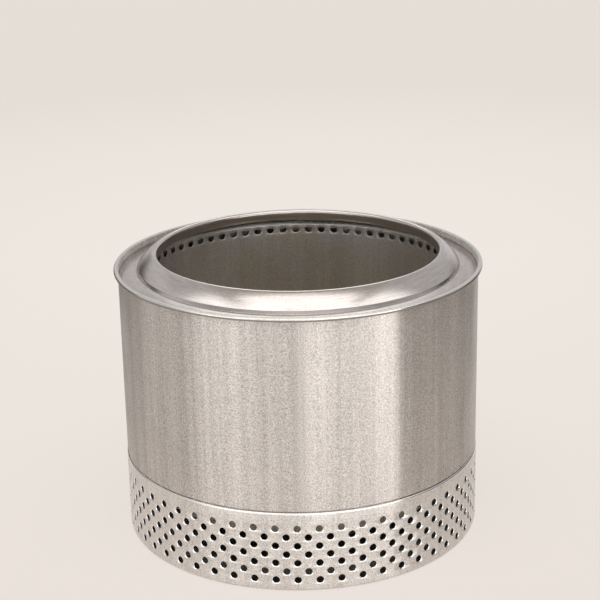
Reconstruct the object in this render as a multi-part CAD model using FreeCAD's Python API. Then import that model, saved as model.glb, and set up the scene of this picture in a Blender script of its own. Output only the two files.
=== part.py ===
import FreeCAD
import Part
import math
import os

# A round double-walled fire pit of stainless sheet, for wood.
# Air enters the holes of the vent base. Part of it rises through the chamber
# floor to the wood, and part rises between the two walls, warms there and
# leaves through the row of holes near the top of the chamber wall.
# The flame ring, the fuel grate and the ash pan lift out of the top.
# The origin is the centre of the circle that the pit stands on, +Z is up,
# and -Y is the front. Lengths are in millimetres and angles in degrees.

Vector = FreeCAD.Vector
ORIGIN = Vector(0, 0, 0)
X_AXIS = Vector(1, 0, 0)
Y_AXIS = Vector(0, 1, 0)
Z_AXIS = Vector(0, 0, 1)
SAME_POINT = 1e-6         # points closer than this are one point

# Fits
weld_gap = 0.1            # between two round sheets that are welded together
lift_gap = 0.3            # between a piece that lifts out and its seat
cut_overrun = 5.0         # how far a cutter runs past the sheet
screw_play = 0.25         # between a screw or rivet shank and its hole

# Outer wall
wall_radius = 185.0       # outer face
wall_sheet = 1.0
rim_height = 285.0        # top of the rolled rim
rim_bead_radius = 2.6     # outer radius of the rolled rim's section
rim_curl_tail = 0.9       # straight end of the sheet, inside the roll
joggle_rise = 1.6         # height over which the wall steps in behind the base
joggle_gap = 0.4          # from the base's top to the foot of that step
joggle_bend = 0.8
skirt_drop = 12.0         # how far the wall reaches down behind the base

# Vent base
base_height = 83.8
base_sheet = 1.0
base_proud = 0.6          # outer face of the base, beyond the outer wall
base_shoulder_radius = 1.2
base_top_lip = 1.0        # flat part of the turned-in top edge
base_foot_radius = 3.0
foot_ring_width = 17.0
vent_columns = 54
vent_rows = 7
vent_hole_radius = 3.7
vent_first_row = 12.2     # height of the lowest row
vent_top_margin = 16.82   # from the highest row up to the base's top
vent_turn = -0.23         # turn of the pattern round Z

# Base plate
plate_sheet = 1.0
plate_margin = 2.5        # from the plate's edge to the base's inner face
plate_rim_width = 20.0    # flat ring that lies on the foot ring
plate_dish = 8.0          # how far the middle stands above that ring
plate_dish_run = 8.0      # radial width of the slope between them
plate_bend = 3.0
plate_rib_radius = 95.0   # stiffening ridge pressed into the middle
plate_rib_rise = 3.0
plate_rib_run = 4.0

# Chamber wall
jacket_width = 24.0       # from the chamber wall's inner face to the outer face
chamber_sheet = 1.0
chamber_top_gap = 1.4     # from its top edge up to the deck
chamber_bottom = 50.0
jet_holes = 70
jet_hole_radius = 3.9
jet_drop = 6.0            # from the chamber wall's top edge down to the row
jet_turn = 0.63           # turn of the row round Z

# Top deck, between the two walls
deck_sheet = 1.0
deck_drop = 11.0              # from the rim's top down to the deck's outer bend
deck_rise = 2.9               # from its outer bend up to its inner bend
deck_neck_drop = 6.0
deck_flange_drop = 6.0
deck_bend = 1.5

# Flame ring
ring_sheet = 1.2
ring_edge_play = 0.6          # round the ring, inside the outer wall
ring_overhang = 16.6          # how far it reaches in past the chamber wall
ring_slope_width = 12.1       # inner slope of the dome, from the opening to the knee
ring_top_slope = 34.0         # angle of that slope
ring_shoulder_width = 9.1     # from the knee out to the crease at the flat collar
ring_step_rise = 3.7
ring_step_run = 1.6
ring_crown_rise = 10.6        # top of the crown above the rim
ring_skirt = 11.0             # how far the inner edge is turned down
ring_crease_bend = 0.9
ring_step_bend = 1.3
ring_knee_bend = 22.0
ring_crown_bend = 3.3

# Chamber floor
floor_sheet = 1.0
floor_flange = 8.5            # part that stands against the chamber wall
floor_slope_width = 15.5      # from the chamber wall in to the foot of the slope
floor_foot_width = 6.0        # flat inner edge, which lies on the pan ledge
floor_fall = 9.4              # height of the slope
floor_bend = 2.0
intake_holes = 36
intake_hole_radius = 3.2

# Pan ledge, welded under the chamber floor's inner edge
ledge_sheet = 1.0
ledge_height = 94.0           # middle of the sheet
ledge_width = 18.0
ledge_drop = 5.0              # stiffening edge turned down
ledge_bend = 2.0

# Ash pan
pan_sheet = 1.0
pan_lip_play = 2.5            # from the middle of its turned-up lip to the floor's edge
pan_lip_rise = 4.0
pan_body_play = 4.5           # from the middle of its side to the ledge's inner edge
pan_depth = 39.0              # from the flange down to the floor, middle to middle
pan_flange_bend = 1.6
pan_floor_bend = 7.0
pan_holes = 24
pan_hole_radius = 3.2
pan_hole_drop = 9.0           # below the flange

# Fuel grate
grate_thickness = 2.5
grate_edge_play = 0.7         # inside the pan's lip
grate_hole_radius = 4.0
grate_margin = 11.8           # from the outer ring of holes to the edge
grate_first_ring = 2          # rings of holes, counted from the middle
grate_last_ring = 8
holes_per_ring_step = 6
grate_edge_chamfer = 0.6

# Lift handles: a wire loop whose straight side turns under a saddle
handle_play = 0.4
saddle_sheet = 1.2
saddle_width = 12.0           # along the wire
saddle_bend = 1.0
grate_wire_radius = 2.0
grate_loop_reach = 38.0       # from the pivot to the far side, middle to middle
grate_loop_width = 62.0
grate_loop_corner = 12.0
grate_wing = 11.0             # flat wing of the saddle, each side
pan_wire_radius = 1.6
pan_loop_reach = 30.0
pan_loop_width = 56.0
pan_loop_corner = 9.0
pan_wing = 9.5
rivet_radius = 1.6
rivet_head_radius = 3.0
rivet_head_height = 1.4
rivet_tail_height = 1.0
rivet_tail_radius = 2.5

# Heat shield under the pan, on posts
shield_margin = 5.0           # how far it stays inside the pan's side
shield_sheet = 1.0
shield_edge_drop = 6.0
shield_bend = 2.0
posts = 4
post_circle_radius = 72.0
post_radius = 6.0
post_length = 23.5
screw_radius = 2.5
screw_head_radius = 4.7
screw_head_height = 3.0
screw_socket_radius = 1.6
screw_socket_depth = 1.8
washer_radius = 5.0
washer_thickness = 1.0
nut_width = 8.0               # across the flats
nut_height = 4.0
screw_tail = 1.5              # past the nut

# Spacer brackets between the walls
brackets = 6
bracket_sheet = 1.0
bracket_flange = 13.0
bracket_height = 22.0
bracket_lift = 5.0            # above the chamber floor's flange
bracket_bend = 1.8


def sheet_face(corners, bends, thickness):
    """Section of a bent sheet, in the XZ plane.

    The middle of the sheet runs through the corners (x, z). Each corner but
    the first and last is rounded to the radius that bends gives for it."""
    points = [Vector(x, 0, z) for x, z in corners]
    half = thickness / 2
    stations = [(points[0], None, None)]
    for before, corner, after, bend in zip(points, points[1:], points[2:], bends):
        into = (corner - before).normalize()
        away = (after - corner).normalize()
        turn = into.getAngle(away)
        setback = bend * math.tan(turn / 2)
        start = corner - into * setback
        end = corner + away * setback
        centre = corner + (away - into).normalize() * (bend / math.cos(turn / 2))
        stations.append((start, end, centre))
    stations.append((points[-1], None, None))

    def side(sign):
        edges = []
        last = None
        for index, (start, end, centre) in enumerate(stations):
            if centre is None:
                neighbour = points[1] if index == 0 else points[-2]
                along = neighbour - start if index == 0 else start - neighbour
                along.normalize()
                here = start + Vector(-along.z, 0, along.x) * (sign * half)
                there = here
            else:
                along = (points[index] - points[index - 1]).normalize()
                outward = Vector(-along.z, 0, along.x) * sign
                radius = (start - centre).Length
                new_radius = radius + half * (1 if outward * (start - centre) > 0 else -1)
                middle = (start + end) * 0.5 - centre
                here = centre + (start - centre).normalize() * new_radius
                there = centre + (end - centre).normalize() * new_radius
                crown = centre + middle.normalize() * new_radius
            if last is not None and (here - last).Length > SAME_POINT:
                edges.append(Part.LineSegment(last, here).toShape())
            if centre is not None:
                edges.append(Part.Arc(here, crown, there).toShape())
            last = there
        first = edges[0].Vertexes[0].Point
        return edges, first, last

    left, left_first, left_last = side(1)
    right, right_first, right_last = side(-1)
    caps = [
        Part.LineSegment(left_last, right_last).toShape(),
        Part.LineSegment(right_first, left_first).toShape(),
    ]
    wire = Part.Wire(Part.__sortEdges__(left + caps + right))
    return Part.Face(wire)


def spun_sheet(corners, bends, thickness):
    """A bent sheet turned round the Z axis."""
    return sheet_face(corners, bends, thickness).revolve(ORIGIN, Z_AXIS, 360)


def turned(shape, angle):
    """A copy of the shape, turned round the Z axis."""
    copy = shape.copy()
    copy.rotate(ORIGIN, Z_AXIS, angle)
    return copy


def round_row(shape, count, start=0.0):
    """Copies of the shape, evenly spaced round the Z axis."""
    return [turned(shape, start + index * 360 / count) for index in range(count)]


def save(name, shape):
    """Writes one node, and says what it holds."""
    if not shape.isValid():
        raise ValueError(f"{name} is not a valid shape")
    shape.exportStep(f"parts/{name}.step")
    print(f"{name}: {len(shape.Solids)} solid(s), {shape.Volume / 1000:.2f} cm3")


# Places that more than one piece uses
wall_middle = wall_radius - wall_sheet / 2
wall_inner = wall_radius - wall_sheet
chamber_radius = wall_radius - jacket_width
deck_outer_height = rim_height - deck_drop
deck_inner_height = deck_outer_height + deck_rise
chamber_top = deck_inner_height - deck_sheet / 2 - chamber_top_gap
opening_radius = chamber_radius - ring_overhang
base_radius = wall_radius + base_proud
base_middle = base_radius - base_sheet / 2
base_inner = base_radius - base_sheet
base_lip_edge = base_middle - base_shoulder_radius - base_top_lip
chamber_middle = chamber_radius + chamber_sheet / 2
chamber_outer = chamber_radius + chamber_sheet
deck_neck_middle = chamber_outer + weld_gap + deck_sheet / 2
deck_edge_middle = wall_inner - weld_gap - deck_sheet / 2
ledge_outer_radius = chamber_radius - floor_slope_width
ledge_inner_radius = ledge_outer_radius - ledge_width
ledge_top = ledge_height + ledge_sheet / 2
floor_foot_radius = ledge_outer_radius - floor_foot_width
floor_foot_height = ledge_top + weld_gap + floor_sheet / 2
floor_slope_top = floor_foot_height + floor_fall
floor_flange_top = floor_slope_top + floor_flange
pan_lip_radius = floor_foot_radius - pan_lip_play
pan_body_radius = ledge_inner_radius - pan_body_play
pan_flange_height = ledge_top + lift_gap + pan_sheet / 2
pan_floor_height = pan_flange_height - pan_depth
pan_floor_top = pan_floor_height + pan_sheet / 2
grate_bottom = pan_flange_height + pan_sheet / 2 + lift_gap
grate_top = grate_bottom + grate_thickness
plate_ring_height = base_sheet + plate_sheet / 2
plate_height = plate_ring_height + plate_dish
plate_top = plate_height + plate_sheet / 2
shield_height = plate_top + post_length + shield_sheet / 2


def outer_wall():
    """Brushed wall, rolled outwards at the top and stepped in at the bottom."""
    bead = rim_bead_radius - wall_sheet / 2
    rim_top = rim_height - wall_sheet / 2
    rim_bottom = rim_top - 2 * bead
    rim_outer = wall_middle + 2 * bead
    skirt_middle = base_lip_edge - weld_gap - wall_sheet / 2
    step_foot = base_height + joggle_gap
    corners = [
        (skirt_middle, base_height - skirt_drop),
        (skirt_middle, step_foot),
        (wall_middle, step_foot + joggle_rise),
        (wall_middle, rim_top),
        (rim_outer, rim_top),
        (rim_outer, rim_bottom),
        (wall_middle + bead - rim_curl_tail, rim_bottom),
    ]
    return spun_sheet(corners, [joggle_bend, joggle_bend, bead, bead, bead], wall_sheet)


def vent_base():
    """Perforated band that the pit stands on, with staggered rows of holes."""
    shoulder = base_height - base_sheet / 2
    foot = base_sheet / 2
    corners = [
        (base_lip_edge, shoulder),
        (base_middle, shoulder),
        (base_middle, foot),
        (base_middle - foot_ring_width, foot),
    ]
    band = spun_sheet(corners, [base_shoulder_radius, base_foot_radius], base_sheet)
    pitch = 360 / vent_columns
    row_pitch = (base_height - vent_top_margin - vent_first_row) / (vent_rows - 1)
    drill_length = base_sheet + 2 * cut_overrun
    drills = []
    for row in range(vent_rows):
        height = vent_first_row + row * row_pitch
        start = Vector(base_inner - cut_overrun, 0, height)
        drill = Part.makeCylinder(vent_hole_radius, drill_length, start, X_AXIS)
        stagger = pitch / 4 if row % 2 == 0 else -pitch / 4
        drills += round_row(drill, vent_columns, stagger)
    return turned(band.cut(drills), vent_turn)


def base_plate():
    """Closes the bottom. It lies on the foot ring, and its middle is raised."""
    edge = base_inner - plate_margin
    slope_foot = edge - plate_rim_width
    rib_top = plate_height + plate_rib_rise
    corners = [
        (edge, plate_ring_height),
        (slope_foot, plate_ring_height),
        (slope_foot - plate_dish_run, plate_height),
        (plate_rib_radius + plate_rib_run, plate_height),
        (plate_rib_radius, rib_top),
        (plate_rib_radius - plate_rib_run, plate_height),
        (0, plate_height),
    ]
    bends = [plate_bend] * 5
    plate = spun_sheet(corners, bends, plate_sheet)
    return plate.cut(screw_holes(plate_height, plate_sheet))


def chamber_wall():
    """Inner wall of the fire chamber, with the row of air jets near its top."""
    corners = [(chamber_middle, chamber_bottom), (chamber_middle, chamber_top)]
    wall = spun_sheet(corners, [], chamber_sheet)
    start = Vector(chamber_radius - cut_overrun, 0, chamber_top - jet_drop)
    drill = Part.makeCylinder(jet_hole_radius, chamber_sheet + 2 * cut_overrun, start, X_AXIS)
    half_pitch = 180 / jet_holes
    return turned(wall.cut(round_row(drill, jet_holes, half_pitch)), jet_turn)


def top_deck():
    """Joins the two walls at the top, and carries the flame ring."""
    corners = [
        (deck_neck_middle, deck_inner_height - deck_neck_drop),
        (deck_neck_middle, deck_inner_height),
        (deck_edge_middle, deck_outer_height),
        (deck_edge_middle, deck_outer_height - deck_flange_drop),
    ]
    return spun_sheet(corners, [deck_bend, deck_bend], deck_sheet)


def flame_ring():
    """Lift-off ring: a collar that lies on the deck, a step and a crowned dome."""
    fall = (deck_inner_height - deck_outer_height) / (deck_edge_middle - deck_neck_middle)
    spread = (deck_sheet / 2 + lift_gap + ring_sheet / 2) * math.hypot(1, fall)
    knee = opening_radius + ring_slope_width
    crease = knee + ring_shoulder_width
    edge = wall_inner - ring_edge_play
    edge_height = deck_outer_height + (deck_edge_middle - edge) * fall + spread
    crease_height = edge_height + (edge - crease) * fall
    skirt = opening_radius + ring_sheet / 2
    pit_height = rim_height + ring_crown_rise
    slope = math.radians(ring_top_slope)
    crown_rise = ring_crown_bend * math.tan((math.pi / 2 + slope) / 2)
    crown_corner = pit_height - ring_sheet / 2 - ring_crown_bend + crown_rise
    knee_height = crown_corner - (knee - skirt) * math.tan(slope)
    corners = [
        (edge, edge_height),
        (crease, crease_height),
        (crease - ring_step_run, crease_height + ring_step_rise),
        (knee, knee_height),
        (skirt, crown_corner),
        (skirt, pit_height - ring_skirt),
    ]
    bends = [ring_crease_bend, ring_step_bend, ring_knee_bend, ring_crown_bend]
    return spun_sheet(corners, bends, ring_sheet)


def chamber_floor():
    """Sloping ring at the bottom of the chamber, with a row of intake holes."""
    flange = chamber_radius - weld_gap - floor_sheet / 2
    corners = [
        (flange, floor_flange_top),
        (flange, floor_slope_top),
        (ledge_outer_radius, floor_foot_height),
        (floor_foot_radius, floor_foot_height),
    ]
    ring = spun_sheet(corners, [floor_bend, floor_bend], floor_sheet)
    hole_circle = (flange + ledge_outer_radius) / 2
    start = Vector(hole_circle, 0, floor_foot_height - cut_overrun)
    drill = Part.makeCylinder(intake_hole_radius, floor_fall + 2 * cut_overrun, start, Z_AXIS)
    return ring.cut(round_row(drill, intake_holes, 180 / intake_holes))


def pan_ledge():
    """Ring under the chamber floor's inner edge, which carries the ash pan."""
    corners = [
        (ledge_outer_radius, ledge_height),
        (ledge_inner_radius, ledge_height),
        (ledge_inner_radius, ledge_height - ledge_drop),
    ]
    return spun_sheet(corners, [ledge_bend], ledge_sheet)


def ash_pan():
    """Pan that hangs by its flange through the pan ledge."""
    corners = [
        (pan_lip_radius, pan_flange_height + pan_lip_rise),
        (pan_lip_radius, pan_flange_height),
        (pan_body_radius, pan_flange_height),
        (pan_body_radius, pan_floor_height),
        (0, pan_floor_height),
    ]
    bends = [pan_flange_bend, pan_flange_bend, pan_floor_bend]
    pan = spun_sheet(corners, bends, pan_sheet)
    start = Vector(pan_body_radius - cut_overrun, 0, pan_flange_height - pan_hole_drop)
    drill = Part.makeCylinder(pan_hole_radius, pan_sheet + 2 * cut_overrun, start, X_AXIS)
    side_holes = round_row(drill, pan_holes, 180 / pan_holes)
    return pan.cut(side_holes + rivet_holes(pan_floor_top, pan_sheet, pan_wire_radius, pan_wing))


def fuel_grate():
    """Round grate with rings of holes, which lies on the pan's flange."""
    radius = pan_lip_radius - pan_sheet / 2 - grate_edge_play
    plate = Part.makeCylinder(radius, grate_thickness, Vector(0, 0, grate_bottom))
    rims = [edge for edge in plate.Edges if len(edge.Vertexes) == 1]
    plate = plate.makeChamfer(grate_edge_chamfer, rims)
    ring_pitch = (radius - grate_margin) / grate_last_ring
    drills = []
    for ring in range(grate_first_ring, grate_last_ring + 1):
        start = Vector(ring * ring_pitch, 0, grate_bottom - cut_overrun)
        drill = Part.makeCylinder(grate_hole_radius, grate_thickness + 2 * cut_overrun, start)
        count = holes_per_ring_step * ring
        drills += round_row(drill, count, 180 / count)
    drills += rivet_holes(grate_top, grate_thickness, grate_wire_radius, grate_wing)
    return plate.cut(drills)


def tunnel_half(wire_radius):
    """From the wire's middle to the middle of the saddle's sheet."""
    return wire_radius + handle_play + saddle_sheet / 2


def rivet_offset(wire_radius, wing):
    """From the wire's middle to a rivet's middle."""
    return tunnel_half(wire_radius) + wing / 2 + saddle_bend / 2


def pivot_height(floor, wire_radius):
    """Height of a handle's pivot above Z zero, on a plate whose top is at floor."""
    return floor + handle_play + wire_radius


def saddle(floor, wire_radius, wing):
    """Strap that holds a wire handle down on a plate, with a tunnel for the wire."""
    half = tunnel_half(wire_radius)
    low = floor + saddle_sheet / 2
    high = pivot_height(floor, wire_radius) + half
    corners = [
        (-half - wing, low),
        (-half, low),
        (-half, high),
        (half, high),
        (half, low),
        (half + wing, low),
    ]
    section = sheet_face(corners, [saddle_bend, half, half, saddle_bend], saddle_sheet)
    strap = section.extrude(Y_AXIS * saddle_width)
    strap.translate(Y_AXIS * (-saddle_width / 2))
    return strap.cut(rivet_holes(floor + saddle_sheet, saddle_sheet, wire_radius, wing))


def rivet_holes(top, thickness, wire_radius, wing):
    """Cutters for the two rivets of a saddle, through a sheet whose top is given."""
    offset = rivet_offset(wire_radius, wing)
    cutters = []
    for x in (-offset, offset):
        start = Vector(x, 0, top - thickness - cut_overrun)
        radius = rivet_radius + screw_play
        cutters.append(Part.makeCylinder(radius, thickness + 2 * cut_overrun, start))
    return cutters


def rivets(floor, thickness, wire_radius, wing):
    """The two rivets that hold a saddle on a plate of the given thickness."""
    seat = floor + saddle_sheet
    under = floor - thickness
    offset = rivet_offset(wire_radius, wing)
    tail_bottom = under - rivet_tail_height
    sphere_drop = (rivet_head_radius ** 2 - rivet_head_height ** 2) / (2 * rivet_head_height)
    cap_radius = sphere_drop + rivet_head_height
    crown_angle = math.asin(rivet_head_radius / cap_radius) / 2
    crown_x = cap_radius * math.sin(crown_angle)
    crown_z = seat - sphere_drop + cap_radius * math.cos(crown_angle)
    top = Vector(0, 0, seat + rivet_head_height)
    rim = Vector(rivet_head_radius, 0, seat)
    outline = [
        Part.Arc(top, Vector(crown_x, 0, crown_z), rim).toShape(),
    ]
    corners = [
        rim,
        Vector(rivet_radius, 0, seat),
        Vector(rivet_radius, 0, under),
        Vector(rivet_tail_radius, 0, under),
        Vector(rivet_tail_radius, 0, tail_bottom),
        Vector(0, 0, tail_bottom),
        top,
    ]
    for first, second in zip(corners, corners[1:]):
        outline.append(Part.LineSegment(first, second).toShape())
    rivet = Part.Face(Part.Wire(outline)).revolve(ORIGIN, Z_AXIS, 360)
    return Part.makeCompound([rivet.translated(X_AXIS * x) for x in (-offset, offset)])


def wire_loop(floor, wire_radius, reach, width, corner):
    """Closed wire loop that lies flat. One long side is the pivot, along Y."""
    height = pivot_height(floor, wire_radius)
    half_width = width / 2
    slant = corner * (1 - math.sqrt(0.5))
    edges = []

    def run(start, end):
        edges.append(Part.LineSegment(Vector(*start, height), Vector(*end, height)).toShape())

    def bend(start, middle, end):
        arc = Part.Arc(Vector(*start, height), Vector(*middle, height), Vector(*end, height))
        edges.append(arc.toShape())

    run((0, -half_width + corner), (0, half_width - corner))
    bend((0, half_width - corner), (slant, half_width - slant), (corner, half_width))
    run((corner, half_width), (reach - corner, half_width))
    bend((reach - corner, half_width), (reach - slant, half_width - slant),
         (reach, half_width - corner))
    run((reach, half_width - corner), (reach, -half_width + corner))
    bend((reach, -half_width + corner), (reach - slant, -half_width + slant),
         (reach - corner, -half_width))
    run((reach - corner, -half_width), (corner, -half_width))
    bend((corner, -half_width), (slant, -half_width + slant), (0, -half_width + corner))
    path = Part.Wire(edges)
    circle = Part.Circle(Vector(0, -half_width + corner, height), Y_AXIS, wire_radius)
    loop = path.makePipeShell([Part.Wire(circle.toShape())], True, False)
    run_length = path.Length * math.pi * wire_radius ** 2
    print(f"wire loop: volume {loop.Volume:.1f} for {run_length:.1f} mm3 of wire")
    return loop


def screw_holes(middle, thickness):
    """Cutters for the shield's screws, through a sheet at the given height."""
    start = Vector(post_circle_radius, 0, middle - thickness / 2 - cut_overrun)
    drill = Part.makeCylinder(screw_radius + screw_play, thickness + 2 * cut_overrun, start)
    return round_row(drill, posts, 180 / posts)


def heat_shield():
    """Disc under the ash pan that keeps the heat off the ground."""
    edge = pan_body_radius - shield_margin
    corners = [
        (edge, shield_height - shield_edge_drop),
        (edge, shield_height),
        (0, shield_height),
    ]
    disc = spun_sheet(corners, [shield_bend], shield_sheet)
    return disc.cut(screw_holes(shield_height, shield_sheet))


def shield_posts():
    """Tubes that carry the heat shield on the base plate."""
    start = Vector(post_circle_radius, 0, plate_top)
    tube = Part.makeCylinder(post_radius, post_length, start)
    tube = tube.cut(Part.makeCylinder(screw_radius + screw_play, post_length, start))
    return round_row(tube, posts, 180 / posts)


def shield_screws():
    """Screws up through the base plate, the posts and the shield."""
    under = plate_height - plate_sheet / 2
    nut_top = shield_height + shield_sheet / 2 + washer_thickness + nut_height
    length = nut_top + screw_tail - under
    start = Vector(post_circle_radius, 0, under)
    shank = Part.makeCylinder(screw_radius, length, start)
    head_start = start - Z_AXIS * screw_head_height
    head = Part.makeCylinder(screw_head_radius, screw_head_height, head_start)
    rim = [edge for edge in head.Edges if len(edge.Vertexes) == 1
           and edge.BoundBox.ZMax < under - screw_head_height / 2]
    head = head.makeFillet(screw_head_height / 3, rim)
    socket = Part.makeCylinder(screw_socket_radius, screw_socket_depth, head_start)
    screw = shank.fuse(head).cut(socket)
    return Part.makeCompound(round_row(screw, posts, 180 / posts))


def shield_washers():
    """Washers between the shield and the nuts."""
    start = Vector(post_circle_radius, 0, shield_height + shield_sheet / 2)
    disc = Part.makeCylinder(washer_radius, washer_thickness, start)
    hole = Part.makeCylinder(screw_radius + screw_play, washer_thickness, start)
    return Part.makeCompound(round_row(disc.cut(hole), posts, 180 / posts))


def shield_nuts():
    """Hexagon nuts on the shield's screws."""
    bottom = shield_height + shield_sheet / 2 + washer_thickness
    corner_radius = nut_width / math.sqrt(3)
    points = []
    for index in range(7):
        angle = math.radians(60 * index)
        x = post_circle_radius + corner_radius * math.cos(angle)
        points.append(Vector(x, corner_radius * math.sin(angle), bottom))
    prism = Part.Face(Part.makePolygon(points)).extrude(Z_AXIS * nut_height)
    hole = Part.makeCylinder(screw_radius, nut_height, Vector(post_circle_radius, 0, bottom))
    return Part.makeCompound(round_row(prism.cut(hole), posts, 180 / posts))


def spacer_brackets():
    """Bent clips that keep the chamber wall and the outer wall apart."""
    inner = chamber_outer + weld_gap + bracket_sheet / 2
    flange_edge = wall_inner - weld_gap
    outer_face = math.sqrt(flange_edge ** 2 - bracket_flange ** 2)
    outer = outer_face - bracket_sheet / 2
    corners = [
        (inner, -bracket_flange),
        (inner, 0),
        (outer, 0),
        (outer, bracket_flange),
    ]
    section = sheet_face(corners, [bracket_bend, bracket_bend], bracket_sheet)
    section.rotate(ORIGIN, X_AXIS, -90)
    clip = section.extrude(Z_AXIS * bracket_height)
    clip.translate(Z_AXIS * (floor_flange_top + bracket_lift))
    return round_row(clip, brackets, 180 / brackets)


os.makedirs("parts", exist_ok=True)
save("outer_wall", outer_wall())
save("vent_base", vent_base())
save("base_plate", base_plate())
save("chamber_wall", chamber_wall())
save("top_deck", top_deck())
save("flame_ring", flame_ring())
save("chamber_floor", chamber_floor())
save("pan_ledge", pan_ledge())
save("ash_pan", ash_pan())
save("pan_saddle", saddle(pan_floor_top, pan_wire_radius, pan_wing))
save("pan_saddle_rivets", rivets(pan_floor_top, pan_sheet, pan_wire_radius, pan_wing))
save("pan_handle", wire_loop(pan_floor_top, pan_wire_radius, pan_loop_reach,
                             pan_loop_width, pan_loop_corner))
save("fuel_grate", fuel_grate())
save("grate_saddle", saddle(grate_top, grate_wire_radius, grate_wing))
save("grate_saddle_rivets", rivets(grate_top, grate_thickness, grate_wire_radius, grate_wing))
save("grate_handle", wire_loop(grate_top, grate_wire_radius, grate_loop_reach,
                               grate_loop_width, grate_loop_corner))
save("heat_shield", heat_shield())
for number, post in enumerate(shield_posts(), start=1):
    save(f"shield_post_{number}", post)
save("shield_screws", shield_screws())
save("shield_washers", shield_washers())
save("shield_nuts", shield_nuts())
for number, bracket in enumerate(spacer_brackets(), start=1):
    save(f"spacer_bracket_{number}", bracket)
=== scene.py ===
# %% [markdown]
# # Dressing a smokeless fire pit
#
# The pit is a free-standing drum of stainless sheet. An outer wall and a chamber wall stand one inside the
# other with an air jacket between them, a punched band at the bottom lets the air in, and a domed ring closes
# the top. Each sheet is about a millimetre thick, so every edge, fold and hole on it is small and crisp.
#
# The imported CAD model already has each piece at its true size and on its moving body. This script loads it
# as a fixed frame, models the sheets that show most again with finer folds and rims, and then gives every
# piece its finish. Lengths are metres, z is up, and the camera looks from the front, which is -y.

# %% Load the frame
import math

import bpy
from mathutils import Matrix, Vector


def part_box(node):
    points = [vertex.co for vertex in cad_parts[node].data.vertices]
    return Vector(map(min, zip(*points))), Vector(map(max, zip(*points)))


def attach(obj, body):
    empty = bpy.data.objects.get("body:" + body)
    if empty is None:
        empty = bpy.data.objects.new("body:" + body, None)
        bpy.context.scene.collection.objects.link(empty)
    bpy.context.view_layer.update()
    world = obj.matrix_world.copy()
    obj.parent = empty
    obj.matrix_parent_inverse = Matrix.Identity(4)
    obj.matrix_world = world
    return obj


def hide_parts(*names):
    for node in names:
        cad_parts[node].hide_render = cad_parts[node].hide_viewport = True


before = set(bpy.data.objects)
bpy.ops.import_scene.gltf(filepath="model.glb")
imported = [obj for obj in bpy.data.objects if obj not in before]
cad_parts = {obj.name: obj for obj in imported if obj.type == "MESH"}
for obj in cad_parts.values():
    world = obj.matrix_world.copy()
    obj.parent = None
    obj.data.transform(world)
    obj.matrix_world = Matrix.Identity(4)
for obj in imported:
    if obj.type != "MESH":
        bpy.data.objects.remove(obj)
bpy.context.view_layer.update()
print("nodes:", len(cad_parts))

# %% [markdown]
# ## Sizes
#
# A fold in sheet metal is drawn along the middle of the sheet, because both faces then follow by adding half
# the thickness to each side. Names such as wall_middle mean the radius of that line. What the frame can tell
# is asked from it, and the other sizes are written in millimetres, which MM turns into metres.

# %% Name the sizes
MM = 0.001
TAU = 2 * math.pi


def corners_of(node):
    """Outer radius, lowest and highest z of a round CAD node, in metres."""
    low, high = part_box(node)
    return high.x, low.z, high.z


bead_radius, wall_bottom, rim_height = corners_of("outer_wall")
base_radius, _, base_top = corners_of("vent_base")
chamber_outer, chamber_bottom, chamber_top = corners_of("chamber_wall")
_, _, pit_height = corners_of("flame_ring")
sheet = 1.0 * MM
ring_sheet = 1.2 * MM
wall_middle = 184.5 * MM
base_middle = base_radius - sheet / 2
chamber_middle = chamber_outer - sheet / 2
print(f"rim {2000 * bead_radius:.0f} mm across, pit {1000 * pit_height:.1f} mm tall")

# %% [markdown]
# ## Camera
#
# A product picture like this one is taken with a long lens from a little above, so the top of the drum opens
# into a flat ellipse and its sides taper only slightly. The lens and the place were worked out from the
# width of the rim, the width of the base and how far each edge curves. The picture also leans by about one
# degree, so the camera is rolled by that much about its own axis.

# %% Set the camera
LENS = 93.495            # on a sensor 36 mm wide
CAMERA_PLACE = Vector((0.0, -1.53736, 0.74872))
LOOK_DOWN = 0.32082      # radians below the horizon
LOOK_RIGHT = 0.00084
ROLL = 0.02009

forward = Vector((
    math.sin(LOOK_RIGHT) * math.cos(LOOK_DOWN),
    math.cos(LOOK_RIGHT) * math.cos(LOOK_DOWN),
    -math.sin(LOOK_DOWN),
))
level_right = Vector((math.cos(LOOK_RIGHT), -math.sin(LOOK_RIGHT), 0.0))
level_up = level_right.cross(forward)
right = level_right * math.cos(ROLL) - level_up * math.sin(ROLL)
up = level_right * math.sin(ROLL) + level_up * math.cos(ROLL)

camera_data = bpy.data.cameras.new("camera")
camera_data.lens = LENS
camera_data.sensor_width = 36.0
camera_data.sensor_fit = "HORIZONTAL"
camera_data.clip_end = 60.0
camera = bpy.data.objects.new("camera", camera_data)
turn = Matrix((right, up, -forward)).transposed()
camera.matrix_world = Matrix.Translation(CAMERA_PLACE) @ turn.to_4x4()
bpy.context.scene.collection.objects.link(camera)
bpy.context.scene.camera = camera
bpy.context.scene.view_settings.view_transform = "Standard"

# %% [markdown]
# ## Building shader trees
#
# Every finish is a small network of nodes. Typing each link by hand makes long scripts, so one helper adds a
# node, sets its options and fills its inputs. An input may be a plain value or the output of another node.

# %% Node helpers
def fill(tree, socket, value):
    """Link an output to a socket, or set the socket to a plain value."""
    if isinstance(value, bpy.types.NodeSocket):
        tree.links.new(value, socket)
    else:
        socket.default_value = value


def add_node(tree, kind, options=None, **inputs):
    """Add a node. Inputs are given by socket name, with _ for a space, or by number as in_0."""
    node = tree.nodes.new(kind)
    for option, value in (options or {}).items():
        setattr(node, option, value)
    for name, value in inputs.items():
        key = int(name[3:]) if name.startswith("in_") else name.replace("_", " ")
        fill(tree, node.inputs[key], value)
    return node


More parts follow.
